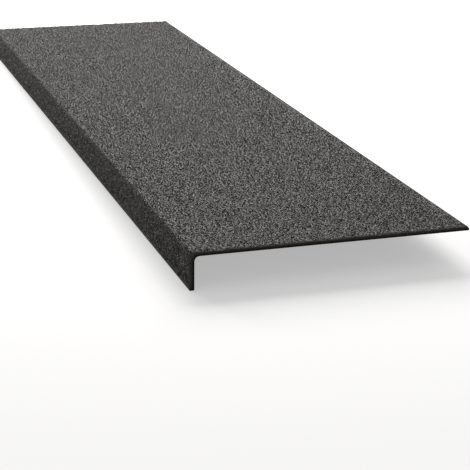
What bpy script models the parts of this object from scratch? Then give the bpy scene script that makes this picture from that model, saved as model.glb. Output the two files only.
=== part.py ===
# Anti-slip stair nosing, moulded in one piece.
# An L-section caps the front edge of a step: the flat tread lies on the step and the
# short lip hangs down in front of it. Metres, +Z up, X along the step, -Y to the front.
# The origin is the middle of the tread's flat underside, which beds on the step.

from math import radians

import bmesh
import bpy
from mathutils import Vector

# Driving sizes
LENGTH = 0.900         # along the step, from cut end to cut end
TREAD_DEPTH = 0.230    # from the front of the lip to the back edge
LIP_HEIGHT = 0.031     # from the tread's top to the foot of the lip
WALL = 0.004           # tread and lip alike: laminate with its grit
NOSE_RADIUS = 0.0022   # outside, where the tread turns down into the lip
ROOT_RADIUS = 0.004    # inside, where the lip leaves the underside
BACK_BEVEL = 0.0022    # at 45 degrees, along the top of the back edge, against tripping
EDGE_RADIUS = 0.0006   # rubbed-down long edges of the lip's foot and the back bevel

# Fineness of the round stretches
NOSE_SEGMENTS = 8
ROOT_SEGMENTS = 8
EDGE_SEGMENTS = 3
SMOOTH_ANGLE = radians(30)

# Finish: near-black resin, dull with grit
GRIT_COLOUR = (0.060, 0.059, 0.057, 1.0)
GRIT_ROUGHNESS = 0.85

# Places worked out from the driving sizes, in the section plane
UNDERSIDE_Z = 0.0
TOP_Z = UNDERSIDE_Z + WALL
FOOT_Z = TOP_Z - LIP_HEIGHT
FRONT_Y = -(TREAD_DEPTH + WALL + ROOT_RADIUS) / 2
LIP_BACK_Y = FRONT_Y + WALL
BACK_Y = FRONT_Y + TREAD_DEPTH
BEVEL_TOP_Y = BACK_Y - min(BACK_BEVEL, WALL * 2 / 3)    # a land stays below the bevel
BEVEL_FOOT_Z = TOP_Z - (BACK_Y - BEVEL_TOP_Y)


def clear_scene():
    for scene_object in list(bpy.data.objects):
        bpy.data.objects.remove(scene_object, do_unlink=True)


def grit_material():
    material = bpy.data.materials.new("gritted_laminate")
    material.use_nodes = True
    shader = material.node_tree.nodes["Principled BSDF"]
    shader.inputs["Base Color"].default_value = GRIT_COLOUR
    shader.inputs["Roughness"].default_value = GRIT_ROUGHNESS
    shader.inputs["Metallic"].default_value = 0.0
    return material


def section_outline():
    """The L before its corners are rounded, as (y, z), anticlockwise seen from +X."""
    return [
        (FRONT_Y, TOP_Z),
        (FRONT_Y, FOOT_Z),
        (LIP_BACK_Y, FOOT_Z),
        (LIP_BACK_Y, UNDERSIDE_Z),
        (BACK_Y, UNDERSIDE_Z),
        (BACK_Y, BEVEL_FOOT_Z),
        (BEVEL_TOP_Y, TOP_Z),
    ]


def extrude_section(model):
    """Fills the outline at one cut end and draws it out to the other."""
    corners = [model.verts.new((-LENGTH / 2, y, z)) for y, z in section_outline()]
    cut_end = model.faces.new(corners)
    drawn = bmesh.ops.extrude_face_region(model, geom=[cut_end])
    moved = [item for item in drawn["geom"] if isinstance(item, bmesh.types.BMVert)]
    bmesh.ops.translate(model, verts=moved, vec=Vector((LENGTH, 0, 0)))
    bmesh.ops.recalc_face_normals(model, faces=model.faces[:])


def long_edges_at(model, places):
    """The edges along X whose section place is one of the given (y, z)."""
    found = []
    for edge in model.edges:
        start, end = (vert.co for vert in edge.verts)
        runs_along = abs(start.y - end.y) + abs(start.z - end.z) < WALL / 100
        if runs_along and any(
            abs(start.y - y) + abs(start.z - z) < WALL / 100 for y, z in places
        ):
            found.append(edge)
    return found


def round_edges(model, places, radius, segments):
    bmesh.ops.bevel(
        model,
        geom=long_edges_at(model, places),
        offset=radius,
        offset_type="OFFSET",
        segments=segments,
        profile=0.5,
        affect="EDGES",
        material=-1,
    )


def build_nosing():
    model = bmesh.new()
    extrude_section(model)
    round_edges(model, [(FRONT_Y, TOP_Z)], NOSE_RADIUS, NOSE_SEGMENTS)
    round_edges(model, [(LIP_BACK_Y, UNDERSIDE_Z)], ROOT_RADIUS, ROOT_SEGMENTS)
    foot_corners = [(FRONT_Y, FOOT_Z), (LIP_BACK_Y, FOOT_Z)]
    bevel_corners = [(BACK_Y, BEVEL_FOOT_Z), (BEVEL_TOP_Y, TOP_Z)]
    rubbed = min(EDGE_RADIUS, WALL / 4)
    round_edges(model, foot_corners + bevel_corners, rubbed, EDGE_SEGMENTS)
    mesh = bpy.data.meshes.new("stair_nosing")
    model.to_mesh(mesh)
    model.free()
    mesh.materials.append(grit_material())
    mesh.shade_smooth()
    mesh.set_sharp_from_angle(angle=SMOOTH_ANGLE)
    nosing = bpy.data.objects.new("stair_nosing", mesh)
    bpy.context.scene.collection.objects.link(nosing)
    return nosing


def main():
    clear_scene()
    build_nosing()


main()
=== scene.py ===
from math import cos, hypot, pi, radians, sin

import bmesh
import bpy
import numpy as np
from mathutils import Matrix, Vector


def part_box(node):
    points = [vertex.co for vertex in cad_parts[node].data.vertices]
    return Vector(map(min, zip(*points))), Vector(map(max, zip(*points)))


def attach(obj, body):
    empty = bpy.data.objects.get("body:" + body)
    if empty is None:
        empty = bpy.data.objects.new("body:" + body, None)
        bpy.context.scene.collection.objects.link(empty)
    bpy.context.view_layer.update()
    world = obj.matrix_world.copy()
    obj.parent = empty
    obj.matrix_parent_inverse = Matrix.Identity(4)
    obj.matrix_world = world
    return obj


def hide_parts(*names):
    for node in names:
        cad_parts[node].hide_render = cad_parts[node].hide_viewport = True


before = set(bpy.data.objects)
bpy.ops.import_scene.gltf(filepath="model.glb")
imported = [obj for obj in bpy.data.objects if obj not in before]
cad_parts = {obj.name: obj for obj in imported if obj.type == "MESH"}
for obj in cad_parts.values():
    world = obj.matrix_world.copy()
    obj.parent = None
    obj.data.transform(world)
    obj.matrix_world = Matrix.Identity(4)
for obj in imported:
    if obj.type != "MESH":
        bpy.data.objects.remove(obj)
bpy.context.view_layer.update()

print("frame loaded")

# The moulding: everything that can be read from the solid is read from it
low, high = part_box("stair_nosing")
moulding = {
    "length": high.x - low.x,
    "front": low.y,
    "back": high.y,
    "top": high.z,
    "foot": low.z,
    "wall": high.z,              # the tread's underside is at height 0
    "noseRadius": 0.0022,
    "rootRadius": 0.004,
    "backBevel": 0.0022,         # at 45 degrees, along the top of the back edge
    "edgeRadius": 0.0006,
    "noseSteps": 4,
    "rootSteps": 8,
    "edgeSteps": 2,
    "crossCuts": 6,              # cuts across the smooth underside
}

# The grit skin's relief, in metres
relief = {
    "pitch": 0.0024,             # size of one facet
    "sunk": 0.0007,              # how far the bed's lowest points lie below the solid's face
    "rise": 0.0004,              # its highest points above those
    "lean": 0.36,                # sideways scatter, as a share of the pitch
    "bias": 1.25,                # over 1 makes low grains more common than tall ones
    "chip": 0.0010,              # how much deeper it may be at the cut ends
    "chipReach": 0.006,          # how far in from a cut end that goes on
    "brink": 0.0004,             # how far in from the back edge the bed drops to its level
    "room": 0.4,                 # the share of its distance to that edge that a point may lean
    "facing": 0.05,              # the least that a gritted face looks up or forward
    "seed": 7,
}

# The moulding's materials, in the order of its slots
gritSlot, backSlot, sawnSlot, rimSlot = range(4)

alongX, alongY, alongZ = range(3)
tiny = 1e-5                      # places nearer than this, in metres, count as one


def socketsOf(node, values):
    for name, value in values.items():
        node.inputs[name].default_value = value


def newNode(tree, kind, values=None, **settings):
    node = tree.nodes.new(kind)
    for name, value in settings.items():
        setattr(node, name, value)
    socketsOf(node, values or {})
    return node


def newMaterial(name, shine):
    material = bpy.data.materials.new(name)
    material.use_nodes = True
    tree = material.node_tree
    shader = tree.nodes["Principled BSDF"]
    socketsOf(shader, shine)
    return material, tree, shader


def warm(grey):
    return grey, grey * 0.95, grey * 0.85


def rampStops(ramp, stops):
    stops = list(stops)
    table = ramp.color_ramp.elements
    while len(table) < len(stops):
        table.new(0.5)
    for element, (place, colour) in zip(table, stops):
        element.position = place
        element.color = (*warm(colour), 1)


# What the bed, its rims and the grains have in common
speckle = {
    "stops": (0.10, 0.55, 1.00),    # where the dark, middle and pale tones sit
    "bumpDetail": 2.0,
    "bumpStrength": 0.7,
}

# Resin bed between the grains: near black, with fine grit in it
bed = {
    "grain": 0.0009,             # size of one patch of colour
    "dark": 0.006,
    "middle": 0.020,
    "pale": 0.070,
    "roughness": (0.5, 0.9),
    "gloss": 0.18,
    "bumpGrain": 0.00035,
    "bumpHeight": 0.00012,
}

# Rims of the tread and lip beside the cut ends, left dull where grains broke out
sawnRim = {
    **bed,
    "reach": 0.0024,             # how far in from the cut, about one facet
    "dark": 0.030,
    "middle": 0.060,
    "pale": 0.110,
    "roughness": (0.8, 0.95),
    "gloss": 0.05,
}


def speckledMaterial(name, look):
    material, tree, shader = newMaterial(name, {"Specular IOR Level": look["gloss"]})
    link = tree.links.new
    place = newNode(tree, "ShaderNodeTexCoord")
    cells = newNode(tree, "ShaderNodeTexVoronoi", {"Scale": 1 / look["grain"]})
    link(place.outputs["Object"], cells.inputs["Vector"])
    parts = newNode(tree, "ShaderNodeSeparateColor")
    link(cells.outputs["Color"], parts.inputs["Color"])
    tones = newNode(tree, "ShaderNodeValToRGB")
    rampStops(tones, zip(speckle["stops"], (look["dark"], look["middle"], look["pale"])))
    link(parts.outputs["Red"], tones.inputs["Fac"])
    link(tones.outputs["Color"], shader.inputs["Base Color"])
    rough = newNode(tree, "ShaderNodeMapRange", {
        "To Min": look["roughness"][0],
        "To Max": look["roughness"][1],
    })
    link(parts.outputs["Green"], rough.inputs["Value"])
    link(rough.outputs["Result"], shader.inputs["Roughness"])
    fine = newNode(tree, "ShaderNodeTexNoise", {
        "Scale": 1 / look["bumpGrain"],
        "Detail": speckle["bumpDetail"],
    })
    link(place.outputs["Object"], fine.inputs["Vector"])
    bump = newNode(tree, "ShaderNodeBump", {
        "Strength": speckle["bumpStrength"],
        "Distance": look["bumpHeight"],
    })
    link(fine.outputs["Fac"], bump.inputs["Height"])
    link(bump.outputs["Normal"], shader.inputs["Normal"])
    return material


# Underside: smooth moulded resin with the fibre strands faintly showing
back = {
    "resin": 0.022,
    "strand": 0.040,
    "stops": (0.35, 0.75),       # where on the noise the two tones sit
    "scale": 160.0,
    "detail": 4.0,
    "distortion": 1.5,
    "roughness": 0.4,
}


def backMaterial():
    material, tree, shader = newMaterial("mouldedBack", {"Roughness": back["roughness"]})
    link = tree.links.new
    place = newNode(tree, "ShaderNodeTexCoord")
    strands = newNode(tree, "ShaderNodeTexNoise", {
        "Scale": back["scale"],
        "Detail": back["detail"],
        "Distortion": back["distortion"],
    })
    link(place.outputs["Object"], strands.inputs["Vector"])
    tones = newNode(tree, "ShaderNodeValToRGB")
    rampStops(tones, zip(back["stops"], (back["resin"], back["strand"])))
    link(strands.outputs["Fac"], tones.inputs["Fac"])
    link(tones.outputs["Color"], shader.inputs["Base Color"])
    return material


# Sawn ends, foot and bevel: the laminate in section, darkest along its smooth side
sawn = {
    "layers": [                  # depth into the wall as a share of it, and grey
        (0.00, 0.018),
        (0.22, 0.024),
        (0.40, 0.050),
        (0.60, 0.095),
        (1.00, 0.130),
    ],
    "uneven": 0.22,              # how far noise shifts the layers, as a share of the wall
    "grain": 0.0011,
    "detail": 2.0,
    "middling": (0.25, 0.75),    # the span of the noise that shifts them
    "roughness": 0.8,
    "gloss": 0.06,
}


def sectionDepth(tree, place):
    # depth into the wall from its smooth side or its foot, as a share of its thickness
    m = moulding
    link = tree.links.new
    parts = newNode(tree, "ShaderNodeSeparateXYZ")
    link(place, parts.inputs[0])

    def maths(operation, *values):
        node = newNode(tree, "ShaderNodeMath", operation=operation)
        for socket, value in zip(node.inputs, values):
            if isinstance(value, float):
                socket.default_value = value
            else:
                link(value, socket)
        return node.outputs[0]

    aside = maths("SUBTRACT", parts.outputs["Y"], m["front"] + m["wall"] + m["rootRadius"])
    aside = maths("MINIMUM", aside, 0.0)
    above = maths("ADD", parts.outputs["Z"], m["rootRadius"])
    above = maths("MAXIMUM", above, 0.0)
    reach = maths("ADD", maths("MULTIPLY", aside, aside), maths("MULTIPLY", above, above))
    fromSmooth = maths("SUBTRACT", maths("SQRT", reach), m["rootRadius"])
    fromFoot = maths("SUBTRACT", parts.outputs["Z"], m["foot"])
    return maths("DIVIDE", maths("MINIMUM", fromSmooth, fromFoot), m["wall"])


def sawnMaterial():
    material, tree, shader = newMaterial("sawnEdge", {
        "Roughness": sawn["roughness"],
        "Specular IOR Level": sawn["gloss"],
    })
    link = tree.links.new
    place = newNode(tree, "ShaderNodeTexCoord")
    depth = sectionDepth(tree, place.outputs["Object"])
    noise = newNode(tree, "ShaderNodeTexNoise", {
        "Scale": 1 / sawn["grain"],
        "Detail": sawn["detail"],
    })
    link(place.outputs["Object"], noise.inputs["Vector"])
    shift = newNode(tree, "ShaderNodeMapRange", {
        "From Min": sawn["middling"][0],
        "From Max": sawn["middling"][1],
        "To Min": -sawn["uneven"] / 2,
        "To Max": sawn["uneven"] / 2,
    })
    link(noise.outputs["Fac"], shift.inputs["Value"])
    shifted = newNode(tree, "ShaderNodeMath", operation="ADD")
    link(depth, shifted.inputs[0])
    link(shift.outputs["Result"], shifted.inputs[1])
    tones = newNode(tree, "ShaderNodeValToRGB")
    rampStops(tones, sawn["layers"])
    link(shifted.outputs[0], tones.inputs["Fac"])
    link(tones.outputs["Color"], shader.inputs["Base Color"])
    return material


def sectionCorners():
    m = moulding
    return {
        "nose": (m["front"], m["top"]),
        "footFront": (m["front"], m["foot"]),
        "footBack": (m["front"] + m["wall"], m["foot"]),
        "root": (m["front"] + m["wall"], 0.0),
        "backUnder": (m["back"], 0.0),
        "bevelFoot": (m["back"], m["top"] - m["backBevel"]),
        "bevelTop": (m["back"] - m["backBevel"], m["top"]),
    }


def skinBack():
    # where the gritted skin stops, short of the bevel and its rubbed edge
    return moulding["back"] - moulding["backBevel"] - moulding["edgeRadius"]


def sectionRuns():
    # lengths of the gritted skin over the tread, round the nose and down the lip
    m = moulding
    tread = skinBack() - m["front"] - m["noseRadius"]
    nose = pi / 2 * m["noseRadius"]
    lip = m["top"] - m["foot"] - m["noseRadius"] - m["edgeRadius"]
    return tread, nose, lip


def isCutEnd(face):
    return abs(face.normal.x) > 0.5


def edgesAlong(bm, axis, keep=lambda edge: True):
    others = [i for i in (alongX, alongY, alongZ) if i != axis]
    found = []
    for edge in bm.edges:
        a, b = (vert.co for vert in edge.verts)
        if all(abs(a[i] - b[i]) < tiny for i in others) and keep(edge):
            found.append(edge)
    return found


def roundAlong(bm, places, radius, steps):
    def sitsThere(edge):
        co = edge.verts[0].co
        return any(hypot(co.y - y, co.z - z) < tiny for y, z in places)

    bmesh.ops.bevel(
        bm,
        geom=edgesAlong(bm, alongX, sitsThere),
        offset=radius,
        offset_type="OFFSET",
        segments=steps,
        profile=0.5,
        affect="EDGES",
        material=-1,
    )


def drawMoulding(bm):
    m = moulding
    corners = sectionCorners()
    end = bm.faces.new([bm.verts.new((low.x, y, z)) for y, z in corners.values()])
    drawn = bmesh.ops.extrude_face_region(bm, geom=[end])
    moved = [item for item in drawn["geom"] if isinstance(item, bmesh.types.BMVert)]
    bmesh.ops.translate(bm, verts=moved, vec=(m["length"], 0, 0))
    bmesh.ops.recalc_face_normals(bm, faces=bm.faces[:])
    roundAlong(bm, [corners["nose"]], m["noseRadius"], m["noseSteps"])
    roundAlong(bm, [corners["root"]], m["rootRadius"], m["rootSteps"])
    rubbed = [corners[name] for name in ("footFront", "footBack", "bevelFoot", "bevelTop")]
    roundAlong(bm, rubbed, m["edgeRadius"], m["edgeSteps"])


def cutFine(bm):
    m = moulding
    facets = round(m["length"] / relief["pitch"])
    lengthways = edgesAlong(bm, alongX)
    bmesh.ops.subdivide_edgering(bm, edges=lengthways, cuts=facets - 1, interp_mode="LINEAR")
    tread, nose, lip = sectionRuns()
    across = [
        (alongY, lambda co: abs(co.z - m["top"]) < tiny, round(tread / relief["pitch"])),
        (alongZ, lambda co: abs(co.y - m["front"]) < tiny, round(lip / relief["pitch"])),
        (alongY, lambda co: abs(co.z) < tiny, m["crossCuts"]),
    ]
    for axis, there, parts in across:
        rows = edgesAlong(bm, axis, lambda edge: all(there(vert.co) for vert in edge.verts))
        bmesh.ops.subdivide_edges(bm, edges=rows, cuts=parts - 1, use_grid_fill=True)
    # one more row close to the back edge, where the bed drops to its level
    brink = (0, skinBack() - relief["brink"], 0)
    everything = bm.verts[:] + bm.edges[:] + bm.faces[:]
    bmesh.ops.bisect_plane(bm, geom=everything, plane_co=brink, plane_no=(0, 1, 0))


def settleOrder(bm):
    # the operators leave an order and last digits that change from run to run, and the relief
    # follows them
    def placeOf(co):
        return tuple(round(value / tiny) for value in co)

    for index, vert in enumerate(sorted(bm.verts, key=lambda vert: placeOf(vert.co))):
        vert.index = index
        vert.co.x = round(vert.co.x / tiny) * tiny
    bm.verts.sort()
    middles = sorted(bm.faces, key=lambda face: placeOf(face.calc_center_median()))
    for index, face in enumerate(middles):
        face.index = index
    bm.faces.sort()


def markFinishes(bm):
    m = moulding
    gritEnd = skinBack()
    for face in bm.faces:
        centre, normal = face.calc_center_median(), face.normal
        onTread = centre.z > m["top"] - m["noseRadius"] and normal.z > relief["facing"]
        onLip = centre.y < m["front"] + m["noseRadius"] and normal.y < -relief["facing"]
        pastEdge = centre.y > gritEnd or centre.z < m["foot"] + m["edgeRadius"]
        nearCut = m["length"] / 2 - abs(centre.x) < sawnRim["reach"]
        if isCutEnd(face) or pastEdge:
            face.material_index = sawnSlot
        elif onTread or onLip:
            face.material_index = rimSlot if nearCut else gritSlot
        else:
            face.material_index = backSlot
        face.smooth = face.material_index == backSlot


# Where the surfaces lie on the bake's texture, as shares of its sides
bakeMap = {
    "name": "OFBake",
    "margin": 0.008,
    "long": (0.0, 0.80),         # heights for the long faces, the two halves one above the other
    "ends": (0.82, 0.99),        # heights for the cut ends, side by side
    "endWide": 0.48,             # the width of each
    "narrowest": 0.0012,         # the least that a narrow strip is given
    "plain": 5.0,                # how much the wide smooth strips are squeezed
    "wide": 4.0,                 # a strip counts as wide past this many facets
}


def sectionKey(co):
    return round(co.y / tiny), round(co.z / tiny)


def sectionRing(bm):
    # the section's points in order round it, with the length that each strip is given
    beside = {}
    for face in bm.faces:
        if isCutEnd(face):
            continue
        ends = {sectionKey(vert.co): (vert.co.y, vert.co.z) for vert in face.verts}
        (a, placeA), (b, placeB) = ends.items()
        width = hypot(placeA[0] - placeB[0], placeA[1] - placeB[1])
        if width > bakeMap["wide"] * relief["pitch"]:
            width /= bakeMap["plain"]
        beside.setdefault(a, {})[b] = beside.setdefault(b, {})[a] = max(width, bakeMap["narrowest"])
    start = here = min(beside)
    last, run, ring = None, 0.0, []
    while here != start or not ring:
        ring.append((here, run))
        ahead = min(key for key in beside[here] if key != last)
        run += beside[here][ahead]
        last, here = here, ahead
    return ring, run


def layBakeMap(bm):
    m, b = moulding, bakeMap
    layer = bm.loops.layers.uv.new(b["name"])
    ring, around = sectionRing(bm)
    runs = dict(ring)
    half = m["length"] / 2
    rowHigh = (b["long"][1] - b["long"][0]) / 2
    endHigh = b["ends"][1] - b["ends"][0]
    for face in bm.faces:
        centre = face.calc_center_median()
        if isCutEnd(face):
            side = 0.5 if centre.x > 0 else 0.0
            for loop in face.loops:
                across = (loop.vert.co.y - m["front"]) / (m["back"] - m["front"])
                up = (loop.vert.co.z - m["foot"]) / (m["top"] - m["foot"])
                u = side + b["margin"] + across * b["endWide"]
                loop[layer].uv = (u, b["ends"][0] + up * endHigh)
            continue
        row = 1 if centre.x > tiny else 0
        places = [runs[sectionKey(loop.vert.co)] for loop in face.loops]
        closes = max(places) - min(places) > around / 2
        for loop, run in zip(face.loops, places):
            if closes and run == 0.0:
                run = around
            u = b["margin"] + (loop.vert.co.x + half * (1 - row)) / half * (1 - 2 * b["margin"])
            v = b["long"][0] + row * rowHigh + b["margin"] + run / around * (rowHigh - 2 * b["margin"])
            loop[layer].uv = (u, v)


def chipsAt(x):
    # how much deeper than elsewhere the bed may lie, near the cut ends
    rim = moulding["length"] / 2 - np.abs(x)
    return relief["chip"] * np.clip(1 - rim / relief["chipReach"], 0, 1)


def raiseGrit(mesh):
    m, r = moulding, relief
    random = np.random.default_rng(r["seed"])
    count = len(mesh.vertices)
    co = np.empty(count * 3)
    mesh.vertices.foreach_get("co", co)
    co = co.reshape(count, 3)
    touches = np.zeros(count, bool)
    sharedOut = np.zeros(count, bool)
    for face in mesh.polygons:
        index = list(face.vertices)
        if face.material_index in (gritSlot, rimSlot):
            touches[index] = True
        elif not isCutEnd(face):
            sharedOut[index] = True
    inside = touches & ~sharedOut
    atEnd = np.abs(np.abs(co[:, 0]) - m["length"] / 2) < tiny
    # outward direction: up on the tread, forward on the lip, radial round the nose
    fromArc = co[:, 1:] - (m["front"] + m["noseRadius"], m["top"] - m["noseRadius"])
    fromArc[:, 0] = np.minimum(fromArc[:, 0], 0)
    fromArc[:, 1] = np.maximum(fromArc[:, 1], 0)
    out = fromArc / np.maximum(np.linalg.norm(fromArc, axis=1), tiny)[:, None]
    height = r["rise"] * random.random(count) ** r["bias"] - r["sunk"]
    height -= chipsAt(co[:, 0]) * random.random(count)
    lean = r["pitch"] * r["lean"]
    side = random.uniform(-lean, lean, (count, 2))
    side[atEnd, 0] = 0
    # none leans out over the back edge, and the row on the brink stays near it
    toEdge = skinBack() - co[:, 1]
    side[:, 1] = np.minimum(side[:, 1], r["room"] * np.maximum(toEdge, 0))
    onBrink = toEdge < 2 * r["brink"]
    side[onBrink, 1] = np.maximum(side[onBrink, 1], -r["brink"])
    co[inside, 0] += side[inside, 0]
    co[inside, 1] += (height * out[:, 0] + side[:, 1] * out[:, 1])[inside]
    co[inside, 2] += (height * out[:, 1] - side[:, 1] * out[:, 0])[inside]
    mesh.vertices.foreach_set("co", co.ravel())
    mesh.update()


def splitFacets(mesh):
    # across the shorter diagonal, which doesn't depend on where a face starts
    bm = bmesh.new()
    bm.from_mesh(mesh)
    rough = [face for face in bm.faces if face.material_index in (gritSlot, rimSlot)]
    bmesh.ops.triangulate(bm, faces=rough, quad_method="SHORT_EDGE")
    bm.to_mesh(mesh)
    bm.free()


def buildMoulding():
    bm = bmesh.new()
    drawMoulding(bm)
    cutFine(bm)
    settleOrder(bm)
    markFinishes(bm)
    layBakeMap(bm)
    mesh = bpy.data.meshes.new("grittedMoulding")
    bm.to_mesh(mesh)
    bm.free()
    raiseGrit(mesh)
    splitFacets(mesh)
    mesh.materials.append(speckledMaterial("resinBed", bed))
    mesh.materials.append(backMaterial())
    mesh.materials.append(sawnMaterial())
    mesh.materials.append(speckledMaterial("sawnRim", sawnRim))
    piece = bpy.data.objects.new("grittedMoulding", mesh)
    bpy.context.scene.collection.objects.link(piece)
    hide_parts("stair_nosing")
    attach(piece, "root")
    mesh.calc_loop_triangles()
    print("moulding:", len(mesh.loop_triangles), "triangles")


# Grains: crushed mineral bedded in the resin, four greys mixed at random; sizes in metres
grains = {
    "pitch": 0.00175,            # mean distance between grains
    "scatter": 0.42,             # as a share of the pitch
    "radius": (0.00050, 0.00085),
    "ragged": (0.70, 1.25),      # how far its points stray from a regular shape
    "depth": (-0.0007, -0.0002),    # where its middle lies, against the solid's face
    "bedded": 0.0001,            # the least it reaches below the bed's lowest level
    "lost": 0.92,                # share of grains that sawing broke out at the rims
    "lostReach": 0.008,          # how far in from a cut end that goes on
    "lostBeside": 2.0,           # how much shorter that is beside the long edges
    "proud": 0.0001,             # how far cut grains stand out of a sawn face
    "seed": 11,
}
greys = {
    "blackGrains": {"share": 0.32, "dark": 0.006, "middle": 0.012, "pale": 0.020},
    "darkGrains": {"share": 0.315, "dark": 0.020, "middle": 0.038, "pale": 0.062},
    "greyGrains": {"share": 0.245, "dark": 0.095, "middle": 0.165, "pale": 0.250},
    "paleGrains": {"share": 0.12, "dark": 0.280, "middle": 0.400, "pale": 0.580},
}
grainFinish = {
    "grain": 0.0016,
    "roughness": (0.45, 0.8),
    "gloss": 0.27,
    "bumpGrain": 0.0003,
    "bumpHeight": 0.00008,
}


def onSkin(run):
    # place and outward direction in the section, at a distance along the skin from the back edge
    m = moulding
    tread, nose, lip = sectionRuns()
    turn = np.clip((run - tread) / m["noseRadius"], 0, pi / 2)
    flat = np.minimum(run, tread)
    down = np.maximum(run - tread - nose, 0)
    y = skinBack() - flat - m["noseRadius"] * np.sin(turn)
    z = m["top"] - m["noseRadius"] * (1 - np.cos(turn)) - down
    return y, z, -np.sin(turn), np.cos(turn)


def grainPlaces(random):
    m, g = moulding, grains
    around = sum(sectionRuns())
    columns, rows = round(m["length"] / g["pitch"]), round(around / g["pitch"])
    x, run = np.meshgrid((np.arange(columns) + 0.5) / columns, (np.arange(rows) + 0.5) / rows)
    x = (x.ravel() - 0.5) * m["length"] + random.normal(0, g["scatter"] * g["pitch"], x.size)
    run = run.ravel() * around + random.normal(0, g["scatter"] * g["pitch"], run.size)
    toEdge = g["lostBeside"] * np.minimum(run, around - run)
    rim = np.minimum(m["length"] / 2 - np.abs(x), toEdge)
    kept = random.random(x.size) > g["lost"] * np.clip(1 - rim / g["lostReach"], 0, 1)
    return x[kept], np.clip(run, 0, around)[kept]


def oneGrain():
    # an eight-sided body, kept as a mesh: read back from it, its corners are copied in order
    bm = bmesh.new()
    bmesh.ops.create_uvsphere(bm, u_segments=4, v_segments=2, radius=1.0)
    mesh = bpy.data.meshes.new("oneGrain")
    bm.to_mesh(mesh)
    bm.free()
    return mesh


def grainBodies(count):
    # copied in doublings, so that the corners of each grain stay together in the list
    bm = bmesh.new()
    bm.from_mesh(oneGrain())
    corners = len(bm.verts)
    made = 1
    while made < count:
        take = min(made, count - made)
        bm.verts.index_update()
        bm.verts.ensure_lookup_table()
        faces = [face for face in bm.faces if face.verts[0].index < take * corners]
        bmesh.ops.duplicate(bm, geom=bm.verts[:take * corners] + faces)
        made += take
    return bm, corners


def randomTurns(random, count):
    # turns spread evenly over all directions, as matrices made from unit quaternions
    w, x, y, z = random.normal(size=(4, count))
    size = np.sqrt(w * w + x * x + y * y + z * z)
    w, x, y, z = w / size, x / size, y / size, z / size
    return np.stack([
        np.stack([1 - 2 * (y * y + z * z), 2 * (x * y - z * w), 2 * (x * z + y * w)], -1),
        np.stack([2 * (x * y + z * w), 1 - 2 * (x * x + z * z), 2 * (y * z - x * w)], -1),
        np.stack([2 * (x * z - y * w), 2 * (y * z + x * w), 1 - 2 * (x * x + y * y)], -1),
    ], 1)


def mapGrains(mesh, x, run, offsets, outY, outZ):
    # each grain lies on the bake's texture where it lies on the skin
    m, b = moulding, bakeMap
    half = m["length"] / 2
    around = sum(sectionRuns())
    row = (x > 0)[:, None]
    u = (x[:, None] + offsets[:, :, 0] + half * (1 - row)) / half
    along = offsets[:, :, 2] * outY[:, None] - offsets[:, :, 1] * outZ[:, None]
    v = (run[:, None] + along) / around
    spots = np.stack([
        b["margin"] + u * (1 - 2 * b["margin"]),
        row / 2 + b["margin"] + v * (0.5 - 2 * b["margin"]),
    ], -1).reshape(-1, 2)
    corners = np.empty(len(mesh.loops), np.int32)
    mesh.loops.foreach_get("vertex_index", corners)
    layer = mesh.uv_layers.new(name=b["name"])
    layer.uv.foreach_set("vector", spots[corners].clip(0, 1).astype(np.float32).ravel())


def bedGrains(name, x, run, random):
    m, g = moulding, grains
    count = len(x)
    bm, corners = grainBodies(count)
    mesh = bpy.data.meshes.new(name)
    bm.to_mesh(mesh)
    bm.free()
    co = np.empty(count * corners * 3)
    mesh.vertices.foreach_get("co", co)
    co = co.reshape(count, corners, 3)
    co *= random.uniform(*g["ragged"], (count, corners, 1))
    co = np.einsum("nij,nvj->nvi", randomTurns(random, count), co)
    co *= random.uniform(*g["radius"], (count, 1, 1))
    y, z, outY, outZ = onSkin(run)
    mapGrains(mesh, x, run, co, outY, outZ)
    depth = random.uniform(*g["depth"], count)
    # none may hang above the bed
    inward = -(co[:, :, 1] * outY[:, None] + co[:, :, 2] * outZ[:, None]).min(1)
    depth = np.minimum(depth, inward - relief["sunk"] - chipsAt(x) - g["bedded"])
    co[:, :, 0] += x[:, None]
    co[:, :, 1] += (y + depth * outY)[:, None]
    co[:, :, 2] += (z + depth * outZ)[:, None]
    # grains at the cut ends and trimmed edges are cut just proud of them
    end = m["length"] / 2 + g["proud"]
    np.clip(co[:, :, 0], -end, end, out=co[:, :, 0])
    np.minimum(co[:, :, 1], m["back"], out=co[:, :, 1])
    np.maximum(co[:, :, 2], m["foot"] - g["proud"], out=co[:, :, 2])
    mesh.vertices.foreach_set("co", co.ravel())
    mesh.update()
    return mesh


def scatterGrains():
    random = np.random.default_rng(grains["seed"])
    x, run = grainPlaces(random)
    draw = random.random(len(x))
    start = 0.0
    for name, look in greys.items():
        chosen = (draw >= start) & (draw < start + look["share"])
        start += look["share"]
        mesh = bedGrains(name, x[chosen], run[chosen], random)
        mesh.materials.append(speckledMaterial(name, {**grainFinish, **look}))
        piece = bpy.data.objects.new(name, mesh)
        bpy.context.scene.collection.objects.link(piece)
        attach(piece, "root")
        print(name + ":", int(chosen.sum()), "grains")


# Floor: plain and white to the camera, dull to other rays so that the lip stays dark from below
floorLook = {
    "size": 8.0,
    "seen": (0.90, 0.90, 0.90),
    "lift": 0.42,                # glow near the nosing, where its shadow lies
    "farLift": 1.0,              # and far from it, where the camera sees it turn white
    "fade": (0.75, 2.2),         # from this far off to this far off
    "bounce": (0.30, 0.30, 0.30),
}


def isPictureRay(tree):
    # 1 for camera, glossy and transmission rays, 0 for the light that falls on things
    rays = newNode(tree, "ShaderNodeLightPath")
    first = newNode(tree, "ShaderNodeMath", operation="MAXIMUM")
    both = newNode(tree, "ShaderNodeMath", operation="MAXIMUM")
    tree.links.new(rays.outputs["Is Camera Ray"], first.inputs[0])
    tree.links.new(rays.outputs["Is Glossy Ray"], first.inputs[1])
    tree.links.new(first.outputs[0], both.inputs[0])
    tree.links.new(rays.outputs["Is Transmission Ray"], both.inputs[1])
    return both.outputs[0]


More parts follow.
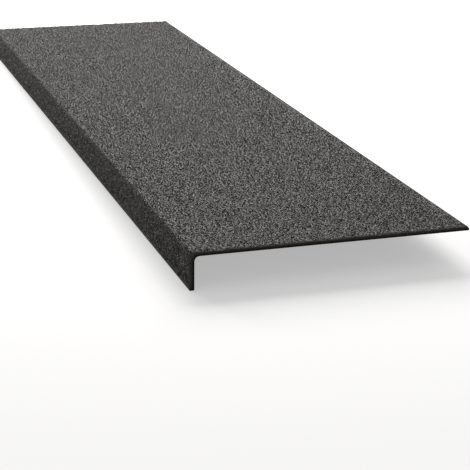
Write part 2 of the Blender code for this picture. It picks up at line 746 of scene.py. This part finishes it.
def floorMaterial():
    material, tree, shader = newMaterial("paleFloor", {})
    tree.nodes.remove(shader)
    link = tree.links.new
    seen = newNode(tree, "ShaderNodeBsdfDiffuse", {"Color": (*floorLook["seen"], 1)})
    place = newNode(tree, "ShaderNodeTexCoord")
    far = newNode(tree, "ShaderNodeVectorMath", operation="LENGTH")
    link(place.outputs["Object"], far.inputs[0])
    rays = newNode(tree, "ShaderNodeLightPath")
    seenFar = newNode(tree, "ShaderNodeMath", operation="MULTIPLY")
    link(far.outputs["Value"], seenFar.inputs[0])
    link(rays.outputs["Is Camera Ray"], seenFar.inputs[1])
    glow = newNode(tree, "ShaderNodeMapRange", {
        "From Min": floorLook["fade"][0],
        "From Max": floorLook["fade"][1],
        "To Min": floorLook["lift"],
        "To Max": floorLook["farLift"],
    })
    link(seenFar.outputs[0], glow.inputs["Value"])
    lift = newNode(tree, "ShaderNodeEmission")
    link(glow.outputs["Result"], lift.inputs["Strength"])
    shown = newNode(tree, "ShaderNodeAddShader")
    bounce = newNode(tree, "ShaderNodeBsdfDiffuse", {"Color": (*floorLook["bounce"], 1)})
    choose = newNode(tree, "ShaderNodeMixShader")
    link(seen.outputs[0], shown.inputs[0])
    link(lift.outputs[0], shown.inputs[1])
    link(isPictureRay(tree), choose.inputs["Fac"])
    link(bounce.outputs[0], choose.inputs[1])
    link(shown.outputs[0], choose.inputs[2])
    link(choose.outputs[0], tree.nodes["Material Output"].inputs["Surface"])
    return material


def layFloor():
    bm = bmesh.new()
    bmesh.ops.create_grid(bm, x_segments=1, y_segments=1, size=floorLook["size"] / 2)
    bmesh.ops.translate(bm, verts=bm.verts, vec=(0, 0, low.z))
    mesh = bpy.data.meshes.new("floor")
    bm.to_mesh(mesh)
    bm.free()
    mesh.materials.append(floorMaterial())
    floor = bpy.data.objects.new("floor", mesh)
    bpy.context.scene.collection.objects.link(floor)


# Studio light: a soft box beyond the far end, a weaker one before the lip, and an even fill
studio = {
    "softBox": {"place": (-1.35, 0.40, 1.05), "size": 1.2, "power": 41.0},
    "frontBox": {"place": (-1.1, -0.55, 0.50), "size": 0.4, "power": 5.0},
    "colour": (1.0, 0.985, 0.965),
    "fill": 0.225,
}


def addBox(name):
    look = studio[name]
    lamp = bpy.data.lights.new(name, "AREA")
    lamp.shape = "SQUARE"
    lamp.size = look["size"]
    lamp.energy = look["power"]
    lamp.color = studio["colour"]
    box = bpy.data.objects.new(name, lamp)
    box.location = look["place"]
    middleOfFarHalf = Vector((low.x / 2, 0, 0))
    aim = middleOfFarHalf - box.location
    box.rotation_euler = aim.to_track_quat("-Z", "Y").to_euler()
    bpy.context.scene.collection.objects.link(box)


def lightStudio():
    addBox("softBox")
    addBox("frontBox")
    world = bpy.data.worlds.new("studio")
    bpy.context.scene.world = world
    world.use_nodes = True
    tree = world.node_tree
    plain = tree.nodes["Background"]
    fill = studio["fill"]
    socketsOf(plain, {"Color": (fill, fill, fill, 1), "Strength": 1.0})
    white = newNode(tree, "ShaderNodeBackground", {"Color": (1, 1, 1, 1), "Strength": 1.0})
    choose = newNode(tree, "ShaderNodeMixShader")
    tree.links.new(isPictureRay(tree), choose.inputs["Fac"])
    tree.links.new(plain.outputs[0], choose.inputs[1])
    tree.links.new(white.outputs[0], choose.inputs[2])
    tree.links.new(choose.outputs[0], tree.nodes["World Output"].inputs["Surface"])


# Camera: a long lens past the near cut end, looking down along the nosing
camera = {
    "lens": 117.0,               # millimetres, like the sensor
    "sensor": 36.0,
    "pastEnd": 1.032,            # beyond the near cut end
    "beforeLip": 0.2999,         # in front of the lip's face
    "aboveTread": 0.3753,
    "yaw": 18.01,
    "pitch": 18.60,
    "roll": -0.64,
}


def placeCamera():
    c = camera
    data = bpy.data.cameras.new("camera")
    data.lens = c["lens"]
    data.sensor_width = c["sensor"]
    yaw, pitch, roll = (radians(c[name]) for name in ("yaw", "pitch", "roll"))
    ahead = Vector((-cos(yaw) * cos(pitch), sin(yaw) * cos(pitch), -sin(pitch)))
    right = Vector((sin(yaw), cos(yaw), 0))
    down = ahead.cross(right)
    turned = cos(roll) * right + sin(roll) * down
    sunk = cos(roll) * down - sin(roll) * right
    view = Matrix((turned, -sunk, -ahead)).transposed().to_4x4()
    view.translation = (high.x + c["pastEnd"], low.y - c["beforeLip"], high.z + c["aboveTread"])
    eye = bpy.data.objects.new("camera", data)
    eye.matrix_world = view
    bpy.context.scene.collection.objects.link(eye)
    bpy.context.scene.camera = eye


buildMoulding()
scatterGrains()
layFloor()
lightStudio()
placeCamera()
print("studio ready")

bpy.context.scene.view_settings.view_transform = "Standard"
bpy.context.view_layer.update()
